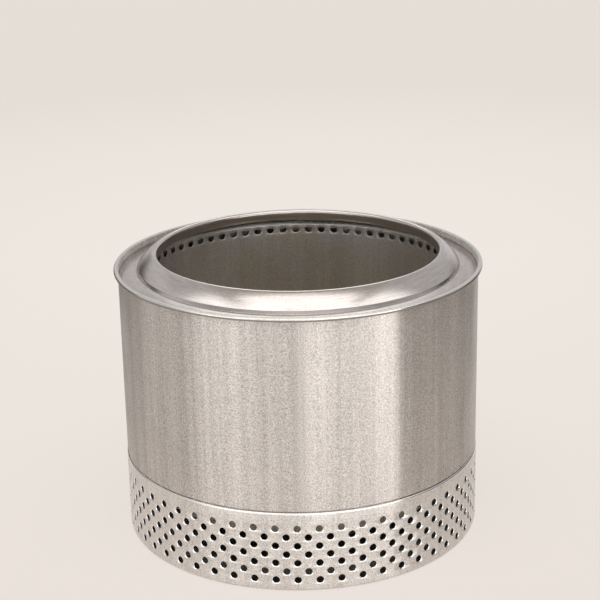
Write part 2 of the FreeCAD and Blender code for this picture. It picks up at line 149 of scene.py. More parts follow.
def math_node(tree, operation, first, second=0.0, third=0.0):
    """Output of a Math node."""
    options = {"operation": operation}
    return add_node(tree, "ShaderNodeMath", options, in_0=first, in_1=second, in_2=third).outputs[0]


def blend_colours(tree, factor, first, second, blend="MIX"):
    """Output of a Mix node for two colours."""
    options = {"data_type": "RGBA", "blend_type": blend}
    node = add_node(tree, "ShaderNodeMix", options, in_0=factor, in_6=first, in_7=second)
    return node.outputs[2]


def ramp(tree, factor, stops, smooth=False):
    """Output of a Color Ramp with (position, grey or colour) stops."""
    node = add_node(tree, "ShaderNodeValToRGB", None, Fac=factor)
    node.color_ramp.interpolation = "EASE" if smooth else "LINEAR"
    elements = node.color_ramp.elements
    while len(elements) < len(stops):
        elements.new(0.5)
    for element, (position, value) in zip(elements, stops):
        element.position = position
        element.color = (*value, 1.0) if isinstance(value, tuple) else (value, value, value, 1.0)
    return node.outputs["Color"]


def azimuth(tree, vector):
    """Angle round z as 0 to 1, where 0.5 is the front, 0.75 the right-hand side and 0 and 1 the back."""
    parts = add_node(tree, "ShaderNodeSeparateXYZ", None, Vector=vector).outputs
    toward_front = math_node(tree, "MULTIPLY", parts[1], -1.0)
    angle = math_node(tree, "ARCTAN2", parts[0], toward_front)
    return math_node(tree, "MULTIPLY_ADD", angle, 1 / TAU, 0.5)


def empty_paint(name):
    """A material without any nodes, and its tree."""
    paint = bpy.data.materials.new(name)
    paint.use_nodes = True
    paint.node_tree.nodes.clear()
    return paint, paint.node_tree


def glow_of(tree, colour, strength=1.0):
    """Output of an Emission shader."""
    return add_node(tree, "ShaderNodeEmission", None, Color=colour, Strength=strength).outputs[0]


# %% [markdown]
# ## Floor and backdrop
#
# Brushed metal has no look of its own: it shows a smeared picture of the room, so the room comes first.
# The floor is pale and matt. Most of its brightness is a glow, painted as a pale pool of light behind the
# pit, and the rest is lit, which keeps the pit's soft shadow. A Light Path node adds the glow for the rays
# that look
# at the room: the camera's, reflections and rays through glass. The other rays, which carry light onto the
# pit, get a plain even fill.

# %% Lay the floor
STAGE_SIDES = 96         # of the floor, the curtain and its lid
FLOOR_RADIUS = 9.0
FLOOR_COLOUR = (0.86, 0.81, 0.765, 1.0)
FLOOR_GLOW = 0.72        # share of the floor's brightness that doesn't depend on the lamp
BRIGHTEST_PLACE = (0.0, 1.1, 0.0)       # middle of a pale pool of light, behind the pit
POOL_REACH = 5.0         # metres from there that count as 1 in the stops
POOL_STOPS = [(0.08, (0.98, 0.915, 0.86)), (0.28, (0.89, 0.825, 0.77)), (0.8, (0.90, 0.835, 0.785))]


def looking(tree):
    """1 for rays that look at the room, 0 for rays that light it."""
    rays = add_node(tree, "ShaderNodeLightPath").outputs
    total = math_node(tree, "ADD", rays["Is Camera Ray"], rays["Is Glossy Ray"])
    return math_node(tree, "MINIMUM", math_node(tree, "ADD", total, rays["Is Transmission Ray"]), 1.0)


def lay_disc(name, radius, height, paint):
    """A flat round stage piece at a height."""
    bpy.ops.object.select_all(action="DESELECT")
    bpy.ops.mesh.primitive_circle_add(vertices=STAGE_SIDES, radius=radius, fill_type="NGON",
                                      location=(0, 0, height))
    bpy.ops.object.transform_apply(location=True)
    disc = bpy.context.object
    disc.name = name
    disc.data.materials.append(paint)
    return disc


floor_paint, tree = empty_paint("floor_paint")
place = add_node(tree, "ShaderNodeTexCoord").outputs["Object"]
distance = add_node(tree, "ShaderNodeVectorMath", {"operation": "DISTANCE"}, in_0=place,
                    in_1=BRIGHTEST_PLACE).outputs["Value"]
falloff = ramp(tree, math_node(tree, "MULTIPLY", distance, 1 / POOL_REACH), POOL_STOPS)
matt = add_node(tree, "ShaderNodeBsdfDiffuse", None, Color=FLOOR_COLOUR).outputs[0]
share = math_node(tree, "MULTIPLY", looking(tree), FLOOR_GLOW)
mixed = add_node(tree, "ShaderNodeMixShader", None, in_0=share, in_1=matt, in_2=glow_of(tree, falloff))
add_node(tree, "ShaderNodeOutputMaterial", None, Surface=mixed.outputs[0])
floor = lay_disc("floor", FLOOR_RADIUS, 0.0, floor_paint)

# %% Paint the world
FILL_COLOUR = (1.0, 0.97, 0.94, 1.0)
FILL_STRENGTH = 0.6
BACKDROP_COLOUR = (0.785, 0.725, 0.68, 1.0)


def background(tree, colour, strength):
    """Output of a Background shader."""
    return add_node(tree, "ShaderNodeBackground", None, Color=colour, Strength=strength).outputs[0]


world = bpy.data.worlds.new("backdrop")
bpy.context.scene.world = world
world.use_nodes = True
world.cycles.sampling_method = "NONE"
tree = world.node_tree
tree.nodes.clear()
mixed = add_node(tree, "ShaderNodeMixShader", None, in_0=looking(tree),
                 in_1=background(tree, FILL_COLOUR, FILL_STRENGTH),
                 in_2=background(tree, BACKDROP_COLOUR, 1.0))
add_node(tree, "ShaderNodeOutputWorld", None, Surface=mixed.outputs[0])

# %% [markdown]
# ## Cards for the metal
#
# Photographers stand white, grey and black cards round a metal drum, and the drum shows them as upright
# stripes. The cards could be planes, but the gaps between planes show too. Here they are painted on one tall
# round curtain, by the angle from the front, in three rows. The wall shows the low row: grey at the left,
# pale in front, brightest just right of the middle, and black at the right. The ring shows the rows above:
# the middle one keeps its crown grey, and the top one whitens its steep foot and the collar in front. A grey
# lid closes the curtain. Only reflections see the two, so they hide nothing and cast no shadow.

# %% Hang the curtain
CURTAIN_RADIUS = 1.1
CURTAIN_HEIGHT = 1.8
LOW_CARDS = [            # from and to, in degrees from the front to the right, and brightness
    (-180, -154, 0.55), (-146, -108, 0.06), (-101, -69, 0.50), (-49, -31, 2.20), (-24, 0, 1.50),
    (6, 10, 2.90), (16, 40, 2.15), (46, 55, 3.00), (58, 86, 0.0), (96, 102, 0.12), (110, 128, 0.0),
    (148, 180, 0.70),
]
MIDDLE_CARDS = [
    (-180, -165, 0.58), (-120, -85, 0.62), (-60, 60, 0.28), (85, 120, 0.52), (165, 180, 0.58),
]
TOP_CARDS = [
    (-180, -168, 1.90), (-152, -95, 0.50), (-85, 85, 1.60), (95, 152, 0.50), (168, 180, 1.90),
]
MIDDLE_FOOT = 0.42       # where the low cards begin to give way to the middle ones, in metres
TOP_FOOT = 0.85
BLEND = 0.14             # height over which one row of cards gives way to the next
BRIGHTEST = 3.0          # a Color Ramp holds 0 to 1, so brightness is stored as a share of this

curtain_paint, tree = empty_paint("curtain_paint")
place = add_node(tree, "ShaderNodeTexCoord").outputs["Object"]
around = azimuth(tree, place)
height = add_node(tree, "ShaderNodeSeparateXYZ", None, Vector=place).outputs[2]


def card_row(cards):
    """One row of cards as a Color Ramp over the angle from the front."""
    stops = [(0.5 + angle / 360, value / BRIGHTEST) for start, end, value in cards for angle in (start, end)]
    return ramp(tree, around, stops)


def above(foot):
    """0 below a height and 1 above it, with a soft step."""
    options = {"interpolation_type": "SMOOTHSTEP"}
    return add_node(tree, "ShaderNodeMapRange", options, Value=height, From_Min=foot,
                    From_Max=foot + BLEND).outputs[0]


paint = blend_colours(tree, above(MIDDLE_FOOT), card_row(LOW_CARDS), card_row(MIDDLE_CARDS))
paint = blend_colours(tree, above(TOP_FOOT), paint, card_row(TOP_CARDS))
add_node(tree, "ShaderNodeOutputMaterial", None, Surface=glow_of(tree, paint, BRIGHTEST))

bpy.ops.object.select_all(action="DESELECT")
bpy.ops.mesh.primitive_cylinder_add(vertices=STAGE_SIDES, radius=CURTAIN_RADIUS, depth=CURTAIN_HEIGHT,
                                    end_fill_type="NOTHING", location=(0, 0, CURTAIN_HEIGHT / 2))
bpy.ops.object.transform_apply(location=True)
curtain = bpy.context.object
curtain.name = "curtain"
curtain.data.materials.append(curtain_paint)

# %% Lay a grey card on top of the curtain
LID_COLOUR = (0.42, 0.39, 0.365, 1.0)

lid_paint, tree = empty_paint("lid_paint")
add_node(tree, "ShaderNodeOutputMaterial", None, Surface=glow_of(tree, LID_COLOUR))
lid = lay_disc("curtain_lid", CURTAIN_RADIUS, CURTAIN_HEIGHT, lid_paint)
for card in (curtain, lid):
    card.visible_camera = card.visible_diffuse = False
    card.visible_shadow = card.visible_transmission = False

# %% [markdown]
# ## Lamp
#
# One soft lamp hangs a little in front of the pit. It whitens the steep front of the ring and lays a soft
# shadow on the floor. Its back edge ends just in front of the opening, so the flatter crown stays grey.

# %% Hang the lamp
LAMP_PLACE = (0.0, -0.59, 1.7)
LAMP_WIDTH = 1.5
LAMP_DEPTH = 0.8
LAMP_WATTS = 5.1

front_lamp = bpy.data.lights.new("front_lamp", "AREA")
front_lamp.shape = "RECTANGLE"
front_lamp.size, front_lamp.size_y = LAMP_WIDTH, LAMP_DEPTH
front_lamp.energy = LAMP_WATTS
lamp = bpy.data.objects.new("front_lamp", front_lamp)
lamp.location = LAMP_PLACE
lamp.visible_camera = False
bpy.context.scene.collection.objects.link(lamp)

# %% [markdown]
# ## Effects shared by the finishes
#
# A sheet from the mill has a short, fine grain. Handling adds faint smears and hair scratches, and fire adds
# a straw to blue tint. Each is a node group with named inputs, so one steel differs from the next only in
# its values. The groups read Object coordinates: the pit stands on the z axis, so a noise that is drawn out
# in z makes stripes up the wall, and one that is drawn out in x and y makes brush lines that lie flat.

# %% Node group helper
def new_group(name, inputs, outputs):
    """A shader node group with float, vector or colour sockets. Returns its tree and its input sockets."""
    kinds = {"float": "NodeSocketFloat", "vector": "NodeSocketVector", "colour": "NodeSocketColor"}
    group = bpy.data.node_groups.new(name, "ShaderNodeTree")
    for title, kind, value in inputs:
        socket = group.interface.new_socket(title, in_out="INPUT", socket_type=kinds[kind])
        if kind != "vector":
            socket.default_value = value
    for title, kind in outputs:
        group.interface.new_socket(title, in_out="OUTPUT", socket_type=kinds[kind])
    return group, group.nodes.new("NodeGroupInput").outputs


def close_group(group, **results):
    """Link the group's results, given by output name with _ for a space."""
    output = group.nodes.new("NodeGroupOutput")
    for name, value in results.items():
        group.links.new(value, output.inputs[name.replace("_", " ")])


def noise(tree, vector, scale, detail=2.0, roughness=0.5):
    """Factor of a Noise Texture."""
    return add_node(tree, "ShaderNodeTexNoise", None, Vector=vector, Scale=scale, Detail=detail,
                    Roughness=roughness).outputs[0]


def stretched(tree, vector, scale):
    """A vector multiplied by another, part by part."""
    options = {"operation": "MULTIPLY"}
    return add_node(tree, "ShaderNodeVectorMath", options, in_0=vector, in_1=scale).outputs[0]


# %% Mill grain
grain_group, given = new_group(
    "mill_grain",
    [("Place", "vector", None), ("Fineness", "float", 700.0), ("Brushing", "float", 0.5)],
    [("Grain", "float"), ("Stripes", "float")],
)
speckle = noise(grain_group, given["Place"], given["Fineness"], 3.0, 0.6)
lying = stretched(grain_group, given["Place"], (0.06, 0.06, 1.6))
lines = noise(grain_group, lying, given["Fineness"], 2.0, 0.6)
grain = add_node(grain_group, "ShaderNodeMix", None, Factor=given["Brushing"], in_2=speckle, in_3=lines)
upright = stretched(grain_group, given["Place"], (1.0, 1.0, 0.012))
stripes = noise(grain_group, upright, 75.0, 4.0, 0.75)
close_group(grain_group, Grain=grain.outputs[0], Stripes=stripes)

# %% Handling wear
wear_group, given = new_group(
    "handling_wear",
    [("Place", "vector", None), ("Scratches", "float", 0.5)],
    [("Smears", "float"), ("Scratch", "float")],
)
smears = noise(wear_group, stretched(wear_group, given["Place"], (1.0, 1.0, 0.6)), 17.0, 4.0, 0.62)
smears = ramp(wear_group, smears, [(0.38, 0.0), (0.66, 1.0)], smooth=True)
drift = add_node(wear_group, "ShaderNodeTexNoise", None, Vector=given["Place"], Scale=9.0).outputs["Color"]
warped = add_node(wear_group, "ShaderNodeVectorMath", {"operation": "ADD"}, in_0=given["Place"],
                  in_1=stretched(wear_group, drift, (0.03, 0.03, 0.03))).outputs[0]
cells = add_node(wear_group, "ShaderNodeTexVoronoi", {"feature": "DISTANCE_TO_EDGE"}, Vector=warped,
                 Scale=46.0)
hair = ramp(wear_group, cells.outputs["Distance"], [(0.0, 1.0), (0.012, 0.0)])
patchy = ramp(wear_group, noise(wear_group, given["Place"], 60.0), [(0.52, 0.0), (0.64, 1.0)])
scratch = math_node(wear_group, "MULTIPLY", math_node(wear_group, "MULTIPLY", hair, patchy),
                    given["Scratches"])
close_group(wear_group, Smears=smears, Scratch=scratch)

# %% Heat tint
tint_group, given = new_group(
    "heat_tint",
    [("Steel", "colour", (0.6, 0.6, 0.6, 1.0)), ("Heat", "float", 0.0), ("Place", "vector", None)],
    [("Colour", "colour")],
)
wander = math_node(tint_group, "MULTIPLY_ADD", noise(tint_group, given["Place"], 22.0, 3.0), 0.5, -0.25)
heat = math_node(tint_group, "ADD", given["Heat"], wander)
tints = ramp(tint_group, heat, [
    (0.0, (1.0, 1.0, 1.0)), (0.25, (1.0, 0.93, 0.78)), (0.5, (0.93, 0.70, 0.44)),
    (0.68, (0.62, 0.42, 0.42)), (0.82, (0.42, 0.44, 0.62)), (1.0, (0.50, 0.52, 0.56)),
])
close_group(tint_group, Colour=blend_colours(tint_group, 1.0, given["Steel"], tints, "MULTIPLY"))

# %% [markdown]
# ## The steels
#
# All the pieces are stainless sheet, wire or fasteners, yet no two look quite alike. The outer wall has a
# dull brushed finish, which smears reflections up and down. The ring was spun, so it is a little brighter.
# Inside, the fire has left a faint straw tint that grows towards the grate, and soot on the grate and the
# pan. One function builds them all. It wires the groups to a Principled shader, and whatever is the same all
# over a piece stays a plain number on the shader.

# %% One builder for every steel
GRAIN_FINENESS = 800.0   # grains to a metre
SCRATCH_STRENGTH = 0.4
SCRATCH_COLOUR = (0.82, 0.80, 0.77, 1.0)
SOOT_COLOUR = (0.035, 0.032, 0.030, 1.0)
BUMP_HEIGHT = 0.2 * MM


def add_group(tree, group, **inputs):
    """Place a node group in a tree."""
    node = tree.nodes.new("ShaderNodeGroup")
    node.node_tree = group
    for name, value in inputs.items():
        fill(tree, node.inputs[name], value)
    return node.outputs


def make_steel(name, colour, rough, brushing=0.1, speckle=1.4, streaks=0.0, stripes=0.05, smears=0.05,
               depth=0.1, directional=0.0, heat=None, soot=0.0):
    """A stainless steel. speckle and streaks vary its colour, stripes and smears its roughness, and depth is
    its bump. heat is (low z, high z, heat at low, heat at high) or None."""
    steel = bpy.data.materials.new(name)
    steel.use_nodes = True
    tree = steel.node_tree
    shader = tree.nodes["Principled BSDF"]
    place = add_node(tree, "ShaderNodeTexCoord").outputs["Object"]
    grain = add_group(tree, grain_group, Place=place, Fineness=GRAIN_FINENESS, Brushing=brushing)
    wear = add_group(tree, wear_group, Place=place, Scratches=SCRATCH_STRENGTH)

    light_and_dark = math_node(tree, "MULTIPLY_ADD", grain["Grain"], speckle, 1 - speckle / 2)
    if streaks:
        upright = math_node(tree, "MULTIPLY_ADD", grain["Stripes"], streaks, -streaks / 2)
        light_and_dark = math_node(tree, "ADD", light_and_dark, upright)
    base = blend_colours(tree, 1.0, (*colour, 1.0), light_and_dark, "MULTIPLY")
    if heat:
        low, high, heat_low, heat_high = heat
        height = add_node(tree, "ShaderNodeSeparateXYZ", None, Vector=place).outputs[2]
        warmth = add_node(tree, "ShaderNodeMapRange", None, Value=height, From_Min=low, From_Max=high,
                          To_Min=heat_low, To_Max=heat_high).outputs[0]
        base = add_group(tree, tint_group, Steel=base, Heat=warmth, Place=place)["Colour"]
    if soot:
        patches = ramp(tree, noise(tree, place, 26.0, 5.0, 0.6), [(0.35, 0.0), (0.7, soot)], smooth=True)
        base = blend_colours(tree, patches, base, SOOT_COLOUR)
    base = blend_colours(tree, wear["Scratch"], base, SCRATCH_COLOUR)
    tree.links.new(base, shader.inputs["Base Color"])

    roughness = math_node(tree, "MULTIPLY_ADD", grain["Stripes"], stripes, rough - stripes / 2)
    roughness = math_node(tree, "MULTIPLY_ADD", wear["Smears"], smears, roughness)
    tree.links.new(roughness, shader.inputs["Roughness"])
    shader.inputs["Metallic"].default_value = 1.0

    height = math_node(tree, "MULTIPLY_ADD", wear["Scratch"], -1.5, grain["Grain"])
    bump = add_node(tree, "ShaderNodeBump", None, Strength=depth, Distance=BUMP_HEIGHT, Height=height)
    tree.links.new(bump.outputs["Normal"], shader.inputs["Normal"])
    if directional:      # a quarter turn from the tangent, which runs round the axis
        shader.inputs["Anisotropic"].default_value = directional
        shader.inputs["Anisotropic Rotation"].default_value = 0.25
        tangent = add_node(tree, "ShaderNodeTangent", {"direction_type": "RADIAL", "axis": "Z"}).outputs[0]
        tree.links.new(tangent, shader.inputs["Tangent"])
    return steel


# %% Mix the steels
wall_steel = make_steel("wall_steel", (0.66, 0.61, 0.57), 0.36, directional=1.0, speckle=2.3,
                        streaks=0.9)
base_steel = make_steel("base_steel", (0.71, 0.675, 0.64), 0.28, directional=0.9, speckle=1.8,
                        streaks=0.6)
ring_steel = make_steel("ring_steel", (0.665, 0.61, 0.575), 0.22, speckle=0.9, brushing=0.5,
                        stripes=0.0, smears=0.02)
# The bead's bright steel is partly a painted highlight, and the dark dull steel under the bead is painted
# shade.
burnish_and_highlight_steel = make_steel("burnish_and_highlight_steel", (0.82, 0.78, 0.74), 0.17, speckle=0.6)
painted_shade_steel = make_steel("painted_shade_steel", (0.30, 0.28, 0.26), 0.50, speckle=0.6)
chamber_steel = make_steel("chamber_steel", (0.73, 0.71, 0.69), 0.36, streaks=0.4,
                           heat=(0.10, 0.275, 0.15, 0.0))
inner_steel = make_steel("inner_steel", (0.60, 0.58, 0.56), 0.40)
# The plate steel is painted dark, which is painted shade on the base plate and heat shield seen through the
# vents.
shade_dark_plate_steel = make_steel("shade_dark_plate_steel", (0.26, 0.25, 0.235), 0.60)
pan_steel = make_steel("pan_steel", (0.56, 0.53, 0.50), 0.42, soot=0.4, heat=(0.05, 0.10, 0.25, 0.15))
grate_steel = make_steel("grate_steel", (0.46, 0.44, 0.42), 0.5, soot=0.6, heat=(0.05, 0.10, 0.4, 0.35))
wire_steel = make_steel("wire_steel", (0.62, 0.60, 0.57), 0.28, speckle=0.3)
fastener_steel = make_steel("fastener_steel", (0.60, 0.59, 0.57), 0.3, speckle=0.3, brushing=0.0)
# The edge steel brightens worn edges, and on the base's shoulder and dished rings it is partly a painted
# highlight.
worn_edge_and_highlight_steel = make_steel("worn_edge_and_highlight_steel", (0.88, 0.85, 0.82), 0.20, speckle=0.3, brushing=0.0, depth=0.05)

# %% Give each CAD node its steel
NODE_STEEL = {
    "outer_wall": wall_steel, "vent_base": base_steel, "flame_ring": ring_steel,
    "chamber_wall": chamber_steel, "chamber_floor": chamber_steel, "pan_ledge": chamber_steel,
    "top_deck": inner_steel, "base_plate": shade_dark_plate_steel, "heat_shield": shade_dark_plate_steel,
    "ash_pan": pan_steel, "pan_saddle": pan_steel, "fuel_grate": grate_steel, "grate_saddle": grate_steel,
    "pan_handle": wire_steel, "grate_handle": wire_steel,
}
for node_name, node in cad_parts.items():
    if node_name.startswith(("shield_post", "spacer_bracket")):
        steel = inner_steel
    else:
        steel = NODE_STEEL.get(node_name, fastener_steel)
    node.data.materials.clear()
    node.data.materials.append(steel)
    print(f"{node_name}: {steel.name}")

# %% [markdown]
# ## Sheets of revolution
#
# The wall and the ring are round, so each is one bent line turned about the z axis. By hand one would add a
# point, extrude it from corner to corner, bevel the corners into bends, spin the line and give it thickness.
# A Screw modifier would do the turning too, but the spin leaves plain faces that later steps can select.

# %% Selecting helpers
def rest():
    """Leave edit mode with nothing selected, so that the next operator acts only on what it adds."""
    if bpy.context.mode != "OBJECT":
        bpy.ops.object.mode_set(mode="OBJECT")
    bpy.ops.object.select_all(action="DESELECT")
    bpy.context.tool_settings.mesh_select_mode = (True, False, False)


def pick(obj, kind, wanted):
    """In edit mode, select only the vertices, edges or faces of obj whose centre passes a test."""
    bpy.ops.object.mode_set(mode="OBJECT")
    mesh = obj.data
    for parts in (mesh.vertices, mesh.edges, mesh.polygons):
        parts.foreach_set("select", [False] * len(parts))
    chosen = {"VERT": mesh.vertices, "EDGE": mesh.edges, "FACE": mesh.polygons}[kind]
    count = 0
    for part in chosen:
        if kind == "VERT":
            centre = part.co
        else:
            centre = sum((mesh.vertices[i].co for i in part.vertices), Vector()) / len(part.vertices)
        if wanted(centre):
            part.select = True
            count += 1
    bpy.context.tool_settings.mesh_select_mode = (kind == "VERT", kind == "EDGE", kind == "FACE")
    bpy.ops.object.mode_set(mode="EDIT")
    return count


# %% Bending and finishing helpers
SAME_PLACE = 0.01 * MM   # points nearer than this count as one
SMOOTH_ANGLE = math.radians(40)
WORN_ANGLE = math.radians(55)           # sharper edges than this are worn
BEND_STEP = math.radians(9)             # most that a bend turns from one segment to the next
SPIN_STEPS = 288


def bend_at(path, number):
    """The corner with this number on a path, and the angle by which the path turns there."""
    before, corner, after = (Vector(path[number + k]) for k in (-1, 0, 1))
    return corner, (corner - before).angle(after - corner)


def finish_sheet(obj, thickness, edge_width):
    """Give a surface its thickness and worn edges, apply both and shade it smooth."""
    rest()
    obj.select_set(True)
    bpy.context.view_layer.objects.active = obj
    solidify = obj.modifiers.new("thickness", "SOLIDIFY")
    solidify.thickness = thickness
    solidify.offset = 0.0
    solidify.use_even_offset = True
    bpy.ops.object.modifier_apply(modifier="thickness")
    bevel = obj.modifiers.new("edges", "BEVEL")
    bevel.width = edge_width
    bevel.segments = 2
    bevel.limit_method = "ANGLE"
    bevel.angle_limit = WORN_ANGLE
    bevel.material = len(obj.data.materials) - 1
    bpy.ops.object.modifier_apply(modifier="edges")
    bpy.ops.object.shade_smooth_by_angle(angle=SMOOTH_ANGLE)
    print(f"{obj.name}: {len(obj.data.polygons)} faces")


def spin_sheet(name, section, bends, thickness, edge_width, steel):
    """Turn a bent line round the z axis. section has (radius, z) corners, bends the bend radius at each."""
    rest()
    bpy.ops.mesh.primitive_plane_add(size=MM)
    obj = bpy.context.object
    obj.name = obj.data.name = name
    bpy.ops.object.mode_set(mode="EDIT")
    bpy.ops.mesh.merge(type="CENTER")
    bpy.ops.transform.translate(value=(section[0][0], 0, section[0][1]))
    for (r0, z0), (r1, z1) in zip(section, section[1:]):
        bpy.ops.mesh.extrude_region_move(TRANSFORM_OT_translate={"value": (r1 - r0, 0, z1 - z0)})
    for number, bend in enumerate(bends, start=1):
        corner, turn = bend_at(section, number)
        place = Vector((corner.x, 0, corner.y))
        pick(obj, "VERT", lambda centre: (centre - place).length < SAME_PLACE)
        bpy.ops.mesh.bevel(offset=bend * math.tan(turn / 2), segments=max(3, math.ceil(turn / BEND_STEP)),
                           affect="VERTICES", clamp_overlap=False)
    bpy.ops.mesh.select_all(action="SELECT")
    bpy.ops.mesh.spin(steps=SPIN_STEPS, angle=TAU, center=(0, 0, 0), axis=(0, 0, 1))
    bpy.ops.mesh.select_all(action="SELECT")
    bpy.ops.mesh.remove_doubles(threshold=SAME_PLACE)
    bpy.ops.mesh.normals_make_consistent(inside=False)
    rest()
    obj.data.materials.append(steel)
    obj.data.materials.append(worn_edge_and_highlight_steel)
    finish_sheet(obj, thickness, edge_width)
    return obj


# %% [markdown]
# ## Outer wall
#
# The wall's foot steps in behind the base, and its top edge is rolled outwards into a bead with the raw edge
# tucked inside. The roll is three square corners with large bends, which meet in a smooth curl. The top of
# the bead has a bright steel, partly burnish and partly painted highlight, and its underside a dark steel,
# which is painted shade, so a bright and a dark line run round the rim.

# %% Roll the outer wall
WALL_FOOT_RADIUS = 182.3 * MM
STEP_GAP = 0.4 * MM      # from the base's top up to the step
STEP_RISE = 1.6 * MM
STEP_BEND = 0.8 * MM
BEAD_DROP = 2.4 * MM     # from the frame's rim down to the bead's top
ROLL_SIZE = 3.0 * MM     # down the roll's outside and back along its tail
ROLL_BEND = 1.15 * MM
WALL_EDGE = 0.15 * MM

step_foot = base_top + STEP_GAP
roll_out = bead_radius - sheet / 2
roll_top = rim_height - sheet / 2 - BEAD_DROP
roll_tail = roll_top - ROLL_SIZE
wall_section = [
    (WALL_FOOT_RADIUS, wall_bottom), (WALL_FOOT_RADIUS, step_foot), (wall_middle, step_foot + STEP_RISE),
    (wall_middle, roll_top), (roll_out, roll_top), (roll_out, roll_tail), (roll_out - ROLL_SIZE, roll_tail),
]
wall_bends = [STEP_BEND, STEP_BEND, ROLL_BEND, ROLL_BEND, ROLL_BEND]
outer_wall = spin_sheet("outer_wall_sheet", wall_section, wall_bends, sheet, WALL_EDGE, wall_steel)

# %% Paint a highlight and a shade on the bead
# The bright faces above the waist are partly a painted highlight, and the dark faces below it are painted
# shade.
HIGHLIGHT_DEPTH = 1.4 * MM                # from the roll's top down to where the burnish ends

bead_waist = roll_top - HIGHLIGHT_DEPTH
bead_foot = roll_tail - sheet
beside_wall = wall_middle + sheet
for steel, low, high in ((burnish_and_highlight_steel, bead_waist, rim_height), (painted_shade_steel, bead_foot, bead_waist)):
    outer_wall.data.materials.append(steel)
    count = pick(outer_wall, "FACE",
                 lambda centre: low < centre.z <= high and centre.xy.length > beside_wall)
    outer_wall.active_material_index = len(outer_wall.data.materials) - 1
    bpy.ops.object.material_slot_assign()
    print(f"{steel.name}: {count} faces on the bead")
rest()
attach(outer_wall, "pit")
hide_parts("outer_wall")

# %% [markdown]
# ## Seam of the wall
#
# A rolled wall is closed by one upright weld, and the makers turn it to the back. After grinding, a low rib
# about two millimetres wide stays. It is half of a thin rod: a cylinder, flattened, cut lengthwise and given
# faint ripples by a Displace modifier, the marks of each pool of the weld.

# %% Lay the weld
WELD_SIDES = 16
WELD_WIDTH = 2.2 * MM
WELD_RISE = 0.35 * MM
WELD_ROOT = 0.2 * MM     # how deep the cut side of the rib lies in the wall
WELD_FOOT_GAP = 3.0 * MM                # from the step's foot up to the weld
WELD_HEAD_GAP = 1.5 * MM                # from the weld up to the tail of the roll
WELD_CUTS = 240          # along the rib, for the ripples

weld_foot = step_foot + WELD_FOOT_GAP
weld_head = roll_tail - WELD_HEAD_GAP
weld_height = (weld_foot + weld_head) / 2
weld_face = wall_middle + sheet / 2
rest()
bpy.ops.mesh.primitive_cylinder_add(vertices=WELD_SIDES, radius=WELD_WIDTH / 2,
                                    depth=weld_head - weld_foot, location=(0, weld_face, weld_height))
weld = bpy.context.object
weld.name = weld.data.name = "wall_weld"
bpy.ops.object.transform_apply(location=True)
bpy.ops.object.mode_set(mode="EDIT")
bpy.ops.mesh.select_all(action="SELECT")
bpy.ops.transform.resize(value=(1, 2 * WELD_RISE / WELD_WIDTH, 1), center_override=(0, weld_face, 0))
pick(weld, "EDGE", lambda centre: abs(centre.z - weld_height) < MM)
bpy.ops.mesh.subdivide(number_cuts=WELD_CUTS)
bpy.ops.mesh.select_all(action="SELECT")
bpy.ops.mesh.bisect(plane_co=(0, weld_face - WELD_ROOT, 0), plane_no=(0, 1, 0), clear_inner=True,
                    use_fill=True)

# %% Ripple the weld
RIPPLE_SIZE = 1.6 * MM
RIPPLE_HEIGHT = 0.25 * MM
RIPPLE_LEVEL = 0.7       # brightness of the texture at which nothing moves
WELD_SMOOTH_ANGLE = math.radians(60)

rest()
pools = bpy.data.textures.new("weld_pools", "CLOUDS")
pools.noise_scale = RIPPLE_SIZE
weld.select_set(True)
ripple = weld.modifiers.new("ripple", "DISPLACE")
ripple.texture = pools
ripple.texture_coords = "LOCAL"
ripple.direction = "Y"
ripple.strength = RIPPLE_HEIGHT
ripple.mid_level = RIPPLE_LEVEL
bpy.ops.object.modifier_apply(modifier="ripple")
bpy.ops.object.shade_smooth_by_angle(angle=WELD_SMOOTH_ANGLE)
weld.data.materials.append(burnish_and_highlight_steel)
print(f"wall_weld: {1000 * (weld_head - weld_foot):.0f} mm long, {len(weld.data.polygons)} faces")
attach(weld, "pit")

# %% [markdown]
# ## Flame ring
#
# The ring lifts off. From the wall inwards it has a flat collar, a small step, a domed crown and an inner
# edge that is turned down into the chamber. It is spun over a form, so the crown is one long, even curve.

# %% Spin the flame ring
RING_EDGE = 0.25 * MM

ring_section = [         # corners before bending, in millimetres
    (183.4, 275.41),     # outer edge of the collar
    (165.6, 277.90),     # foot of the step
    (164.0, 281.60),     # top of the step
    (156.5, 290.15),     # knee of the crown
    (145.0, 297.91),     # lip
    (145.0, 284.6),      # end of the edge that is turned down
]
ring_bends = [0.9 * MM, 1.3 * MM, 55.0 * MM, 3.3 * MM]
flame_ring = spin_sheet("flame_ring_sheet", [(r * MM, z * MM) for r, z in ring_section], ring_bends,
                        ring_sheet, RING_EDGE, ring_steel)
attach(flame_ring, "ring")
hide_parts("flame_ring")

# %% [markdown]
# ## Punched bands
#
# The base has 378 round holes and the chamber wall 70 jets. Cutting holes with booleans leaves long thin
# faces that shade badly. Instead one hole is modelled in a small flat tile: a square outline bridged to a
# circle. The tile is copied up the column, pressed onto the cylinder with a Cast modifier, and spun round the
# axis.

# %% Model one punched tile
TILE_ALONG = 6           # edges along the tile's lower and upper side
TILE_UP = 4              # edges up each of its ends
HOLE_SIDES = 2 * (TILE_ALONG + TILE_UP)
UPRIGHT = (math.pi / 2, 0, math.pi / 2)


